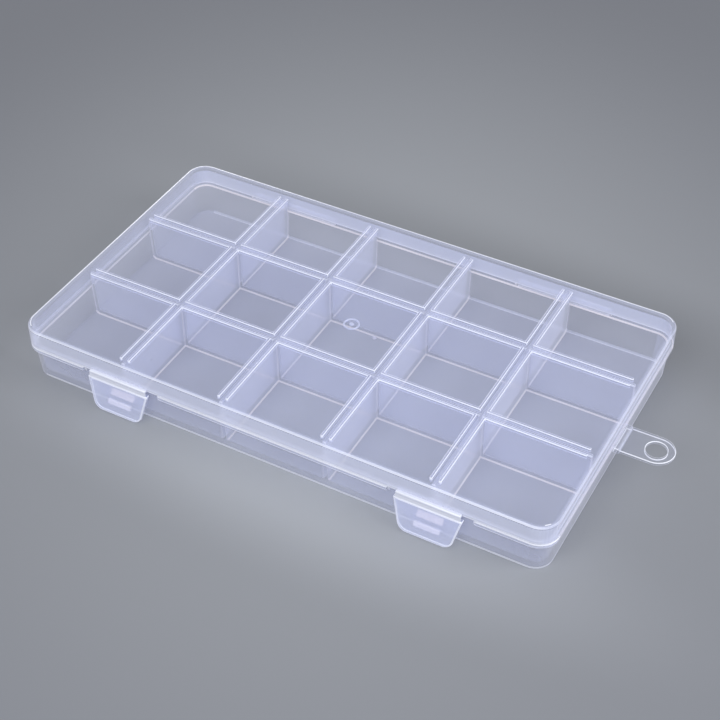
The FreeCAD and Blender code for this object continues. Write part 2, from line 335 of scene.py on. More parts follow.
def milky_plastic(name, wall, edge, foot, slant, roughness, shadow_share=1.0):
    """A finish whose veil is wall on flat faces, edge on marked edges and foot on marked fillets."""
    material, tree, shader = new_material(name)
    place = add_node(tree, "ShaderNodeTexCoord")
    melt = add_node(tree, "ShaderNodeGroup", {
        "Place": place.outputs["Object"], "Scale": cloud_scale, "Drift": cloud_drift}, node_tree=cloud)
    edge_mark = add_node(tree, "ShaderNodeAttribute", attribute_name="edge_line")
    foot_mark = add_node(tree, "ShaderNodeAttribute", attribute_name="foot_line")
    lines = add_node(tree, "ShaderNodeGroup", {
        "Edge": edge_mark.outputs["Fac"], "Foot": foot_mark.outputs["Fac"], "Cloud": melt.outputs["Cloud"],
        "Wall Color": wall_colour, "Edge Color": edge_colour, "Foot Color": warm_highlight_colour,
        "Wall Veil": wall, "Edge Veil": edge, "Foot Veil": foot}, node_tree=edge_group)
    facing = add_node(tree, "ShaderNodeLayerWeight", {"Blend": 0.5})
    depth = maths(tree, "POWER", facing.outputs["Facing"], slant_power)
    # The thicker veil at a slant is the deeper plastic, and the paling is a painted sheen.
    paler = maths(tree, "MULTIPLY", depth, sheen_paling, clamp=True)
    tint = between(tree, "RGBA", paler, lines.outputs["Color"], sheen_colour)
    clear = maths(tree, "SUBTRACT", 1.0, lines.outputs["Veil"])
    thinned = maths(tree, "MULTIPLY_ADD", depth, -slant, 1.0)
    gap = maths(tree, "MULTIPLY", clear, thinned)
    veil = maths(tree, "SUBTRACT", 1.0, gap, clamp=True)
    path = add_node(tree, "ShaderNodeLightPath")
    relief = maths(tree, "MULTIPLY_ADD", path.outputs["Is Shadow Ray"], shadow_share - 1.0, 1.0)
    alpha = maths(tree, "MULTIPLY", veil, relief)
    satin = maths(tree, "MULTIPLY_ADD", melt.outputs["Grain"], grain_roughness, roughness)
    for socket_name, result in {"Base Color": tint, "Alpha": alpha, "Roughness": satin}.items():
        tree.links.new(result, shader.inputs[socket_name])
    shader.inputs["IOR"].default_value = plastic_ior
    return material


print("wall and edge colours:", wall_colour[:3], edge_colour[:3])

# %% Finishes
finish_values = {
    "tray_plastic": dict(wall=0.045, edge=0.70, foot=0.62, slant=0.45, roughness=0.26),
    "lid_plastic": dict(wall=0.082, edge=0.80, foot=0.40, slant=0.40, roughness=0.20),
    "latch_plastic": dict(wall=0.32, edge=0.85, foot=0.60, slant=0.50, roughness=0.24, shadow_share=0.4),
    "film_plastic": dict(wall=0.10, edge=0.75, foot=0.30, slant=0.50, roughness=0.30),
}
finishes = {name: milky_plastic(name, **values) for name, values in finish_values.items()}
print("finishes:", list(finishes))

# %% [markdown]
# ## Helpers for moulded shapes
# Every moulding is made the same way: a few faces are raised into walls, corners are rounded, and at
# the end all sharp edges get a small bevel. The plastic reads the marks on the bevel's faces. Small
# faces are shaded smooth and flat walls stay flat.

# %% Mesh helpers
tiny = 0.01 * mm
edge_angle = radians(35)
flat_angle = radians(0.2)
# How far a normal or an edge points along an axis, from 0 to 1
hardly, barely, partly, halfway, mostly, nearly = 0.1, 0.2, 0.3, 0.5, 0.9, 0.99
along_x = (1, 0, 0)
upwards = (0, 0, 1)
face_marks = ("edge_line", "foot_line")


def new_moulding():
    """An empty mesh with the two face marks that the plastic reads."""
    mesh = bmesh.new()
    for name in face_marks:
        mesh.faces.layers.float.new(name)
    return mesh


def block(low, high):
    """A block between two corners."""
    mesh = new_moulding()
    bmesh.ops.create_cube(mesh, size=1)
    bmesh.ops.scale(mesh, vec=Vector(high) - Vector(low), verts=mesh.verts)
    bmesh.ops.translate(mesh, vec=(Vector(high) + Vector(low)) / 2, verts=mesh.verts)
    return mesh


def middle(face):
    return face.calc_center_median()


def stands(edge):
    """Whether an edge is about upright."""
    run = edge.verts[1].co - edge.verts[0].co
    return abs(run.z) > mostly * run.length


def border_of(mesh):
    return [edge for edge in mesh.edges if edge.is_boundary]


def turn_outwards(mesh):
    bmesh.ops.recalc_face_normals(mesh, faces=mesh.faces)


def verts_of(geometry):
    return [item for item in geometry if isinstance(item, bmesh.types.BMVert)]


def faces_of(geometry):
    return [item for item in geometry if isinstance(item, bmesh.types.BMFace)]


def around(faces):
    """The faces with all their edges and corners, as some operators want them."""
    edges = dict.fromkeys(edge for face in faces for edge in face.edges)
    verts = dict.fromkeys(vert for face in faces for vert in face.verts)
    return [*faces, *edges, *verts]


print("a tiny distance in mm:", round(tiny / mm, 3))


# %% Cutting, extruding and rounding
def cut(mesh, faces, place, way, clear=False):
    """Cuts faces with a plane, or clears what lies beyond it, and returns the faces left."""
    made = bmesh.ops.bisect_plane(
        mesh, geom=around(faces), plane_co=place, plane_no=way, clear_outer=clear)["geom"]
    return faces_of(made)


def extrude_faces(mesh, faces):
    """Extrudes faces in place and returns the new corners and faces, with no face left inside."""
    made = bmesh.ops.extrude_face_region(mesh, geom=around(faces))["geom"]
    return verts_of(made), faces_of(made)


def raise_faces(mesh, faces, level):
    """Extrudes faces upright to a level and returns the faces there."""
    moved, caps = extrude_faces(mesh, faces)
    for vert in moved:
        vert.co.z = level
    return caps


def round_edges(mesh, edges, radius, steps):
    """Rounds edges and returns the new faces."""
    made = bmesh.ops.bevel(
        mesh, geom=edges, offset=radius, offset_type="OFFSET", segments=steps, profile=0.5,
        affect="EDGES", material=-1, clamp_overlap=False)
    for face in made["faces"]:
        face.smooth = True
    return made["faces"]


def inset(mesh, faces, width, at_border=False):
    """Insets faces and returns the faces of the frame round them."""
    return bmesh.ops.inset_region(
        mesh, faces=faces, thickness=width, use_even_offset=True, use_boundary=at_border)["faces"]


def sharp_edges(mesh):
    mesh.normal_update()
    return [edge for edge in mesh.edges
            if len(edge.link_faces) == 2 and edge.calc_face_angle() > edge_angle]


print("edges are sharp above", round(degrees(edge_angle)), "degrees")


# %% Marks and pieces
def mark(mesh, faces, value=1.0, line="edge_line"):
    """Writes a face mark that the plastic reads."""
    layer = mesh.faces.layers.float[line]
    for face in faces:
        face[layer] = value


def bevelled(mesh, radius, line="edge_line", body=0.0):
    """Rounds all sharp edges and marks the new faces as lines, and the others as body."""
    mark(mesh, mesh.faces, body, line)
    new_faces = round_edges(mesh, sharp_edges(mesh), radius, steps=2)
    mark(mesh, new_faces, line=line)
    return new_faces


def finish_piece(mesh, name, slot):
    """Makes the mesh an object with its finish, and frees the mesh."""
    turn_outwards(mesh)
    data = bpy.data.meshes.new(name)
    mesh.to_mesh(data)
    open_edges = sum(1 for edge in mesh.edges if len(edge.link_faces) != 2)
    mesh.free()
    data.materials.append(finishes[slot])
    piece = bpy.data.objects.new(name, data)
    scene.collection.objects.link(piece)
    print(name, len(data.polygons), "faces,", open_edges, "open edges")
    return piece


def stand_in(mesh, node, slot, body):
    """Makes the mesh a piece that takes a node's place and rides on a body."""
    piece = finish_piece(mesh, f"{node}_moulding", slot)
    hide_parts(node)
    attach(piece, body)


print("face marks:", face_marks)

# %% [markdown]
# ## Tray
# The tray is one moulding: a floor, a wall that leans out a little, and dividers that rise past the
# wall to just under the lid. It could be joined from boxes, but faces would then lie inside the plastic
# and show. So it starts as a plan: a grid whose lines are the faces of the walls and dividers. Cells of
# wall are raised to the rim, and cells of divider higher still.

# %% Tray plan
columns = [f"column_divider_{count}" for count in (1, 2, 3, 4)]
rows = [f"row_divider_{count}" for count in (1, 2)]
wall_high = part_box("tray_wall")[1]
rim_low, rim_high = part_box("tray_rim")
floor_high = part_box("tray_floor")[1]
column_boxes = [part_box(node) for node in columns]
row_boxes = [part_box(node) for node in rows]
rim_top = wall_high.z
floor_top = floor_high.z
divider_top = column_boxes[0][1].z
outer_x, outer_y = wall_high.x, wall_high.y
inner_x, inner_y = row_boxes[0][1].x, column_boxes[0][1].y
wall_thickness = outer_x - inner_x
lean_rate = (wall_high.x - floor_high.x) / (rim_top - floor_top)


def plan_lines(axis, dividers, inner, outer):
    """The plan's lines across an axis: the faces of both walls and of each divider."""
    faces = [corner[axis] for box in dividers for corner in box]
    return [-outer, -inner] + faces + [inner, outer]


x_lines = plan_lines(0, column_boxes, inner_x, outer_x)
y_lines = plan_lines(1, row_boxes, inner_y, outer_y)
last_column = len(x_lines) - 2
last_row = len(y_lines) - 2
tray = new_moulding()
bmesh.ops.create_grid(tray, x_segments=last_column + 1, y_segments=last_row + 1, size=1)
for vert in tray.verts:
    column = round((vert.co.x + 1) / 2 * (last_column + 1))
    row = round((vert.co.y + 1) / 2 * (last_row + 1))
    vert.co = (x_lines[column], y_lines[row], floor_top)
print("plan cells:", len(tray.faces))


# %% Tray walls and dividers
def cell_kind(face):
    """Whether a cell of the plan is wall, divider or compartment."""
    centre = middle(face)
    column = bisect(x_lines, centre.x) - 1
    row = bisect(y_lines, centre.y) - 1
    if column in (0, last_column) or row in (0, last_row):
        return "wall"
    return "divider" if column % 2 == 0 or row % 2 == 0 else "compartment"


standing = [face for face in tray.faces if cell_kind(face) != "compartment"]
at_rim = raise_faces(tray, standing, rim_top)
raise_faces(tray, [face for face in at_rim if cell_kind(face) == "divider"], divider_top)
lowered = bmesh.ops.extrude_edge_only(tray, edges=border_of(tray))["geom"]
for vert in verts_of(lowered):
    vert.co.z = 0.0
bmesh.ops.edgeloop_fill(tray, edges=border_of(tray))
print("tray faces:", len(tray.faces), "open edges:", len(border_of(tray)))


# %% Tray lean
def lean_in(level):
    """How far the leaning wall lies inside its place at the rim."""
    return max(0.0, rim_top - level) * lean_rate


for vert in tray.verts:
    inward = lean_in(vert.co.z)
    for axis, inner in enumerate((inner_x, inner_y)):
        if abs(vert.co[axis]) > inner - tiny:
            vert.co[axis] -= copysign(inward, vert.co[axis])
turn_outwards(tray)
seams = [edge for edge in tray.edges
         if edge.calc_face_angle() < flat_angle and abs(edge.link_faces[0].normal.z) < halfway]
bmesh.ops.dissolve_edges(tray, edges=seams, use_verts=True)
print("tray faces without seams:", len(tray.faces))

# %% [markdown]
# ## Tray corners
# The plan's corners are rounded while the walls are still plain, each at its own radius, so that the wall
# keeps one thickness. Where the corner's top is cut into cells, the cells are first merged into one face.

# %% Corner helpers
corner_radius = 6.4 * mm
corner_nearness = 0.6 * mm
rim_reach = rim_high.x - outer_x
corner_centre = Vector((rim_high.x - corner_radius, rim_high.y - corner_radius))
inner_radius = corner_radius - rim_reach - wall_thickness
outer_radius = inner_radius + wall_thickness


def in_corner(point, x, y, nearness):
    """Whether a point lies near (x, y) in one of the four corners, in plan."""
    return abs(abs(point.x) - x) < nearness and abs(abs(point.y) - y) < nearness


def upright_edges(mesh, x, y):
    """Upright edges near (x, y) in any of the four corners."""
    return [edge for edge in mesh.edges
            if stands(edge) and all(in_corner(vert.co, x, y, corner_nearness) for vert in edge.verts)]


def reach(point):
    """How far a point lies outside the centres of the corner arcs, in plan."""
    out = Vector((abs(point.x), abs(point.y))) - corner_centre
    return out.length if min(out) > 0 else max(out)


print("corner radii in mm:", round(inner_radius / mm, 2), round(outer_radius / mm, 2))

# %% Tray corners
corner_cells = [edge for edge in tray.edges
                if edge.calc_face_angle() < flat_angle
                and any(in_corner(vert.co, inner_x, inner_y, tiny) for vert in edge.verts)]
bmesh.ops.dissolve_edges(tray, edges=corner_cells, use_verts=True)
mean_lean = rim_top * lean_rate / 2
inside_corners = upright_edges(tray, inner_x - mean_lean, inner_y - mean_lean)
round_edges(tray, inside_corners, inner_radius, steps=8)
outside_corners = upright_edges(tray, outer_x - mean_lean, outer_y - mean_lean)
round_edges(tray, outside_corners, outer_radius, steps=8)
print("corners rounded:", len(inside_corners), "inside,", len(outside_corners), "outside")

# %% [markdown]
# ## Rim
# A narrow rim runs round the top of the tray's wall, flush with the lid above it. It stops, with
# rounded ends, where the hinges and latches pass. The wall's outer faces are cut with planes at the
# rim's underside and at its ends, and the strips between are extruded outwards in two steps. The edge
# between the steps later parts the rim's pale top from the wall's.

# %% Rim places
latch_gap = 26.5 * mm
hinge_gap_clearance = 0.6 * mm
rim_lip = 0.55 * mm
rim_base = rim_low.z - rim_lip
latch_box = {side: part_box(f"latch_flap_{side}") for side in sides}
hinge_box = {side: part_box(f"hinge_film_{side}") for side in sides}
hinge_gap = hinge_box["left"][1].x - hinge_box["left"][0].x + 2 * hinge_gap_clearance
front, rear = -1, 1


def middle_x(box):
    return (box[0].x + box[1].x) / 2


gaps = []
for side in sides:
    gaps.append((front, middle_x(latch_box[side]), latch_gap))
    gaps.append((rear, middle_x(hinge_box[side]), hinge_gap))
print("gaps in the rim:", len(gaps))


# %% Rim helpers
def upright_reach(point):
    """The reach that a point would have if the leaning wall stood upright."""
    inward = lean_in(point.z)
    return reach(Vector((abs(point.x) + inward, abs(point.y) + inward)))


def outer_faces():
    """Upright faces on the outside of the tray's wall."""
    least = inner_radius + wall_thickness / 2
    return [face for face in tray.faces
            if abs(face.normal.z) < partly and upright_reach(middle(face)) > least]


def rim_strips():
    return [face for face in outer_faces() if middle(face).z > rim_base]


def in_a_gap(face):
    centre = middle(face)
    return any(face.normal.y * way > nearly and abs(centre.x - x) < width / 2 for way, x, width in gaps)


def push_out(faces, radius):
    """Extrudes wall faces out to a radius from the corners' centres."""
    moved, caps = extrude_faces(tray, faces)
    for vert in moved:
        out = Vector((abs(vert.co.x), abs(vert.co.y))) - corner_centre
        if min(out) > tiny:
            out = out.normalized() * radius
        elif out.x > out.y:
            out.x = radius
        else:
            out.y = radius
        vert.co.x = copysign(corner_centre.x + out.x, vert.co.x)
        vert.co.y = copysign(corner_centre.y + out.y, vert.co.y)
    return caps


tray.normal_update()
print("outer faces:", len(outer_faces()))

# %% Rim
rim_line = 0.6 * rim_reach
rim_end_round = 0.5 * rim_reach
cut(tray, outer_faces(), (0, 0, rim_base), upwards)
for way, centre_x, width in gaps:
    for end_x in (centre_x - width / 2, centre_x + width / 2):
        strip = [face for face in rim_strips() if face.normal.y * way > nearly]
        cut(tray, strip, (end_x, 0, 0), along_x)
rim_faces = [face for face in rim_strips() if not in_a_gap(face)]
push_out(push_out(rim_faces, corner_radius - rim_line), corner_radius)
rim_ends = []
for edge in tray.edges:
    ends = edge.verts
    on_face = all(abs(abs(vert.co.y) - rim_high.y) < tiny for vert in ends)
    at_end = any(abs(abs(ends[0].co.x - x) - width / 2) < tiny for _, x, width in gaps)
    if on_face and at_end and stands(edge):
        rim_ends.append(edge)
round_edges(tray, rim_ends, rim_end_round, steps=5)
print("rim strips:", len(rim_faces), "rounded ends:", len(rim_ends))

# %% [markdown]
# ## Tray marks and fillets
# Moulded plastic has no sharp edges: the fillet is broad at the wall's foot and fine along every other
# edge. How milky a face looks depends on the light that reaches it, so the marks hold painted light:
# columns, rows and floor are marked by kind, near rows and faces towards the front or the right end more
# than others, and the base line is fainter at the left end. Outside, strips above the base and at the rim's
# foot are cut off with planes and marked as lines. The fillets at the dividers' feet and along the rim's top
# catch warm light and get the other mark, a painted warm highlight.

# %% Tray edges to round
wall_fillet = 1.2 * mm
foot_round = 0.2 * mm
fine_fillet = 0.4 * mm
inside_reach = inner_radius - wall_thickness
tray.normal_update()
wall_feet = []
base_edges = []
for edge in tray.edges:
    level = max(vert.co.z for vert in edge.verts)
    upright = [face for face in edge.link_faces if abs(face.normal.z) < partly]
    if len(upright) != 1:
        continue
    if level < tiny:
        base_edges.append(edge)
    elif abs(level - floor_top) < tiny and reach(middle(upright[0])) > inside_reach:
        wall_feet.append(edge)
print("edges at the wall's foot:", len(wall_feet), "at the base:", len(base_edges))

# %% Tray inside marks
# Painted light: near rows are milkier than far ones, the rim's inside is milkier at the front, and the
# columns, which face the right lamp, are milkier than the rows.
column_mark = 0.33
floor_mark = 0.18
near_row_mark = 0.22
far_row_mark = 0.15
front_rim_mark = 0.6
other_rim_mark = 0.1
for face in tray.faces:
    centre = middle(face)
    if reach(centre) < inside_reach and centre.z > floor_top - tiny:
        value = near_row_mark if centre.y < 0 else far_row_mark
        if abs(face.normal.x) > mostly:
            value = column_mark
        elif face.normal.z > mostly:
            value = floor_mark
        mark(tray, [face], value)
    elif reach(centre) > outer_radius:
        in_front = centre.y < -corner_centre.y
        mark(tray, [face], front_rim_mark if in_front else other_rim_mark)
print("faces marked:", len(tray.faces))

# %% Tray outside lines
# Painted light: the base line is fainter at the left end, and faces that turn to the front or the right end
# are milkier, with a bright line at the rim's foot along the front.
left_base_mark = 0.3
base_round_mark = 0.9
base_mark, base_front_mark = 0.75, 0.25
rim_mark, rim_front_mark, rim_foot_mark = 0.1, 0.25, 0.8
wall_mark, wall_front_mark = 0.26, 0.05
base_line = foot_round + 0.75 * mm
rim_foot_line = rim_base + fine_fillet + 0.2 * mm
round_edges(tray, wall_feet, wall_fillet, steps=4)
for face in round_edges(tray, base_edges, foot_round, steps=3):
    at_left = middle(face).x < -corner_centre.x
    mark(tray, [face], left_base_mark if at_left else base_round_mark)
for level in (base_line, rim_foot_line):
    tray.normal_update()
    cut(tray, outer_faces(), (0, 0, level), upwards)
tray.normal_update()
for face in outer_faces():
    centre = middle(face)
    to_front = max(0.0, -face.normal.y)
    in_rim = upright_reach(centre) > outer_radius + wall_thickness / 2
    if centre.z < base_line:
        at_left = centre.x < -corner_centre.x
        mark(tray, [face], left_base_mark if at_left else base_mark + base_front_mark * to_front)
    elif in_rim:
        front_mark = rim_foot_mark if centre.z < rim_foot_line else rim_front_mark
        mark(tray, [face], rim_mark + front_mark * to_front)
    elif centre.x > corner_centre.x or to_front > halfway:
        mark(tray, [face], wall_mark + wall_front_mark * to_front)
print("faces outside:", len(outer_faces()))

# %% Tray fine fillets
# Painted highlights: the rim's top and its fillets shine warm, most along the back, the fine fillets at the
# front shine white, and the row tops more than the column tops.
back_rim_mark, side_rim_mark = 1.0, 0.6
foot_mark, upright_foot_mark = 0.8, 0.4
row_top_mark, column_top_mark = 0.8, 0.4
for face in tray.faces:
    centre = middle(face)
    on_top = face.normal.z > mostly and abs(centre.z - rim_top) < tiny
    if on_top and reach(centre) > corner_radius - rim_line and centre.y > -corner_centre.y:
        mark(tray, [face], back_rim_mark if centre.y > outer_y else side_rim_mark, line="foot_line")
for face in round_edges(tray, sharp_edges(tray), fine_fillet, steps=2):
    centre = middle(face)
    upright = abs(face.normal.z) < barely
    if reach(centre) < inner_radius and (upright or centre.z < floor_top + wall_fillet):
        mark(tray, [face], upright_foot_mark if upright else foot_mark, line="foot_line")
    elif centre.z > rim_top + fine_fillet:
        along_a_row = abs(face.normal.y) > partly
        mark(tray, [face], row_top_mark if along_a_row else column_top_mark)
    elif centre.y < -corner_centre.y:
        mark(tray, [face])
    elif centre.z > rim_top - fine_fillet:
        mark(tray, [face], back_rim_mark if centre.y > corner_centre.y else side_rim_mark, line="foot_line")
tray_piece = finish_piece(tray, "tray_moulding", "tray_plastic")
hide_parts("tray_floor", "tray_wall", "tray_rim", *columns, *rows)
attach(tray_piece, "tray")

# %% [markdown]
# ## Lid
# The lid is a shallow tray turned over. A block gets rounded corners and a rounded top, and its
# underside is inset by the skirt's thickness and pushed up, which leaves the panel and the skirt. A painted
# highlight lies on the rounded top edge: all over on the far edges, and only in a thin line on the near
# ones. The skirt's foot ends in a painted bright line along the front, and the skirt is painted milkier
# where it faces the front.

# %% Lid shell
panel_low, panel_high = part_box("lid_panel")
skirt_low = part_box("lid_skirt")[0]
skirt_thickness = 1.2 * mm
lid_underside = panel_low.z

lid = block((-panel_high.x, -panel_high.y, skirt_low.z), panel_high)
round_edges(lid, upright_edges(lid, panel_high.x, panel_high.y), corner_radius, steps=10)
lid.normal_update()
below = min(lid.faces, key=lambda face: middle(face).z)
inset(lid, [below], skirt_thickness)
raise_faces(lid, [below], lid_underside)
print("lid faces:", len(lid.faces))

# %% Lid top edge
# Painted highlights: a thin band on the near side of the rounded top edge, the whole of its far sides and
# the far border.
lid_edge_round = 1.0 * mm
lid_border = 1.2 * mm
line_low, line_high = 0.30, 0.80
least_line_mark, beside_line_mark = 0.4, 0.15
far_border_mark = 0.2


def edges_at(mesh, level):
    """Sharp edges that lie at one level."""
    return [edge for edge in sharp_edges(mesh) if all(abs(vert.co.z - level) < tiny for vert in edge.verts)]


for face in round_edges(lid, edges_at(lid, panel_high.z), lid_edge_round, steps=6):
    normal = face.normal
    value = 1.0
    if normal.y < -hardly or normal.x > hardly:
        on_line = line_low < normal.z < line_high
        value = max(least_line_mark, -normal.y) if on_line else beside_line_mark
    mark(lid, [face], value)
lid_top = max(lid.faces, key=lambda face: middle(face).z)
border = inset(lid, [lid_top], lid_border)
for face in border:
    centre = middle(face)
    on_far_side = centre.y > corner_centre.y or centre.x < -corner_centre.x
    mark(lid, [face], far_border_mark if on_far_side else 0.0)
print("border faces:", len(border))

# %% Lid skirt
# Painted light: the skirt is milkier as it turns to the front, most along its foot there, and its back
# fillets are warm.
ceiling_fillet = 0.5 * mm
ceiling_mark = 0.12
skirt_fillet = 0.25 * mm
skirt_edge_mark, skirt_side_mark, skirt_warm_mark = 0.9, 0.5, 0.5
skirt_line = skirt_low.z + 0.65 * mm
skirt_mark, skirt_front_mark, skirt_line_mark = 0.13, 0.54, 0.82


def skirt_faces():
    return [face for face in lid.faces if abs(face.normal.z) < hardly]


mark(lid, round_edges(lid, edges_at(lid, lid_underside), ceiling_fillet, steps=3), ceiling_mark)
for face in round_edges(lid, sharp_edges(lid), skirt_fillet, steps=2):
    centre = middle(face)
    at_back = centre.y > inner_y
    mark(lid, [face], skirt_edge_mark if abs(centre.y) > inner_y else skirt_side_mark)
    mark(lid, [face], skirt_warm_mark if at_back else 0.0, line="foot_line")
cut(lid, skirt_faces(), (0, 0, skirt_line), upwards)
lid.normal_update()
for face in skirt_faces():
    to_front = max(0.0, -face.normal.y)
    at_foot = middle(face).z < skirt_line
    mark(lid, [face], skirt_mark + (skirt_line_mark if at_foot else skirt_front_mark) * to_front)
lid_piece = finish_piece(lid, "lid_moulding", "lid_plastic")
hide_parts("lid_panel", "lid_skirt")
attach(lid_piece, "lid")

# %% [markdown]
# ## Ribs under the lid
# Each compartment has a thin rib frame under the lid. It stands beside the dividers, keeps small parts
# from slipping over them, and stops short of the skirt. A rectangle is inset to make the frame, cut off
# on the skirt's side, and pushed down. Its top is sunk half a millimetre into the panel, as a moulded rib
# grows out of it, and a strip along its foot is marked as the line that shows through the lid.

# %% Rib places
rib_width = 0.9 * mm
rib_depth = 1.0 * mm
rib_divider_gap = 0.35 * mm
rib_end_gap = 2.2 * mm
rib_root = 0.55 * mm
beyond_skirt = 6.0 * mm
rib_end_x = panel_high.x - skirt_thickness - rib_end_gap
rib_end_y = panel_high.y - skirt_thickness - rib_end_gap


def rib_stops(axis, dividers, end):
    """Pairs of places along an axis between which a frame stands."""
    faces = []
    for low, high in dividers:
        faces += [low[axis] - rib_divider_gap, high[axis] + rib_divider_gap]
    return [-end] + faces + [end]


x_stops = rib_stops(0, column_boxes, rib_end_x)
y_stops = rib_stops(1, row_boxes, rib_end_y)
print("rib stops:", len(x_stops), "by", len(y_stops))

# %% Rib frames
ribs = new_moulding()


def past_skirt(place, end):
    """A frame's side, moved on beyond the skirt if it ends there."""
    return place + copysign(beyond_skirt, place) if abs(place) == end else place


def rib_frame(left, right, near, far):
    """One flat frame, left open where a side is the lid's skirt."""
    corners = bmesh.ops.create_grid(ribs, x_segments=1, y_segments=1, size=0.5)["verts"]
    low_x, high_x = past_skirt(left, rib_end_x), past_skirt(right, rib_end_x)
    low_y, high_y = past_skirt(near, rib_end_y), past_skirt(far, rib_end_y)
    bmesh.ops.scale(ribs, vec=(high_x - low_x, high_y - low_y, 1), verts=corners)
    place = ((low_x + high_x) / 2, (low_y + high_y) / 2, lid_underside + rib_root)
    bmesh.ops.translate(ribs, vec=place, verts=corners)
    centre_face = corners[0].link_faces[0]
    frame_faces = inset(ribs, [centre_face], rib_width, at_border=True)
    bmesh.ops.delete(ribs, geom=[centre_face], context="FACES_ONLY")
    for side in ((left, 0, 0), (right, 0, 0), (0, near, 0), (0, far, 0)):
        if abs(side[0]) == rib_end_x or abs(side[1]) == rib_end_y:
            frame_faces = cut(ribs, frame_faces, side, side, clear=True)


for left, right in zip(x_stops[::2], x_stops[1::2]):
    for near, far in zip(y_stops[::2], y_stops[1::2]):
        rib_frame(left, right, near, far)
raise_faces(ribs, ribs.faces[:], lid_underside - rib_depth)
print("rib faces before rounding:", len(ribs.faces))

# %% Rib edges
rib_end_round = 0.42 * rib_width
rib_edge_round = 0.2 * mm
rib_body_mark, rib_line_mark = 0.12, 0.52
rib_line_low, rib_line_high = lid_underside - 0.55 * mm, lid_underside - 0.2 * mm


def at_rib_end(point):
    return abs(abs(point.x) - rib_end_x) < tiny or abs(abs(point.y) - rib_end_y) < tiny


turn_outwards(ribs)
rib_end_edges = [edge for edge in sharp_edges(ribs) if stands(edge) and at_rib_end(edge.verts[0].co)]
round_edges(ribs, rib_end_edges, rib_end_round, steps=4)
bevelled(ribs, rib_edge_round, body=rib_body_mark)
for level in (rib_line_low, rib_line_high):
    cut(ribs, ribs.faces[:], (0, 0, level), upwards)
for face in ribs.faces:
    centre = middle(face)
    if centre.z < rib_line_low:
        mark(ribs, [face], rib_body_mark)
    elif centre.z < rib_line_high:
        mark(ribs, [face], rib_line_mark)
    elif abs(centre.y) > rib_end_y - rib_width / 2:
        mark(ribs, [face])
rib_piece = finish_piece(ribs, "lid_rib_frames", "lid_plastic")
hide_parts("lid_ribs_row_1", "lid_ribs_row_2", "lid_ribs_row_3")
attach(rib_piece, "lid")

# %% [markdown]
# ## Gate marks
# Plastic enters the mould in the middle of each big moulding, and leaves a mark there: a ring with a dot
# under the lid, and a small nub on the tray's floor. Both are spun or flattened from a primitive.


# %% Gate marks
def gate_piece(mesh, name, line, value, slot, body):
    """Shades a gate mark smooth, marks it and puts it on its body."""
    for face in mesh.faces:
        face.smooth = True
    mark(mesh, mesh.faces, value, line)
    piece = finish_piece(mesh, name, slot)
    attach(piece, body)


gate_ring_radius = 2.3 * mm
gate_wire = 0.30 * mm
gate_dot_radius = 0.75 * mm
gate_dot_flatness = 0.4
gate_height = 0.45 * mm
gate_mark = 0.35
gate = new_moulding()
hoop = bmesh.ops.create_circle(gate, segments=10, radius=gate_wire)["verts"]
bmesh.ops.rotate(gate, verts=hoop, cent=(0, 0, 0), matrix=Matrix.Rotation(pi / 2, 3, "X"))
bmesh.ops.translate(gate, verts=hoop, vec=(gate_ring_radius, 0, 0))
bmesh.ops.spin(gate, geom=gate.verts[:] + gate.edges[:], cent=(0, 0, 0), axis=upwards, angle=2 * pi,
               steps=40, use_merge=True)
dot = bmesh.ops.create_icosphere(gate, subdivisions=3, radius=gate_dot_radius)["verts"]
bmesh.ops.scale(gate, vec=(1, 1, gate_dot_flatness), verts=dot)
bmesh.ops.translate(gate, vec=(0, 0, lid_underside + gate_height), verts=gate.verts)
gate_piece(gate, "lid_gate_mark", "edge_line", gate_mark, "lid_plastic", "lid")

# %% Floor nub
nub_place = Vector((0, 14.9, 1.1)) * mm
nub_radius = 0.8 * mm
nub_flatness = 0.6
nub_mark = 0.5
nub = new_moulding()
bmesh.ops.create_icosphere(nub, subdivisions=3, radius=nub_radius)
bmesh.ops.scale(nub, vec=(1, 1, nub_flatness), verts=nub.verts)
bmesh.ops.translate(nub, vec=nub_place, verts=nub.verts)
gate_piece(nub, "floor_gate_nub", "foot_line", nub_mark, "tray_plastic", "tray")

# %% [markdown]
# ## Bars at the hinges and latches
# The films start from small bars on the lid and the tray. Each bar is a block between two corners of the
# frame, sunk a hair into the wall that carries it and rounded along its edges. The latch bars are solid
# ridges, almost white, partly for their thick plastic and partly as a painted shine, and the hinge bars
# are hardly seen.

# %% Bars
sunk = 0.06 * mm
hinge_bar_round, hinge_bar_mark = 0.2 * mm, 0.05
# The latch bars' near-white mark is partly their thick plastic and partly a painted shine.
latch_bar_round, latch_bar_mark = 0.3 * mm, 0.9


def bar(node, body, slot, towards, radius, body_mark):
    """A rounded bar in a node's place, lengthened a hair towards what carries it."""
    low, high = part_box(node)
    low.y += min(0.0, towards)
    high.y += max(0.0, towards)
    mesh = block(low, high)
    bevelled(mesh, radius, body=body_mark)
    stand_in(mesh, node, slot, body)


for side in sides:
    bar(f"hinge_lid_bar_{side}", "lid", "lid_plastic", -sunk, hinge_bar_round, hinge_bar_mark)
    bar(f"hinge_tray_bar_{side}", "tray", "tray_plastic", -sunk, hinge_bar_round, hinge_bar_mark)
    bar(f"latch_bar_{side}", "lid", "lid_plastic", sunk, latch_bar_round, latch_bar_mark)

# %% [markdown]
# ## Films
# A hinge film is a strip bent in a half circle at the back, and a latch film is a short flat strip. A
# spin makes the bent one.

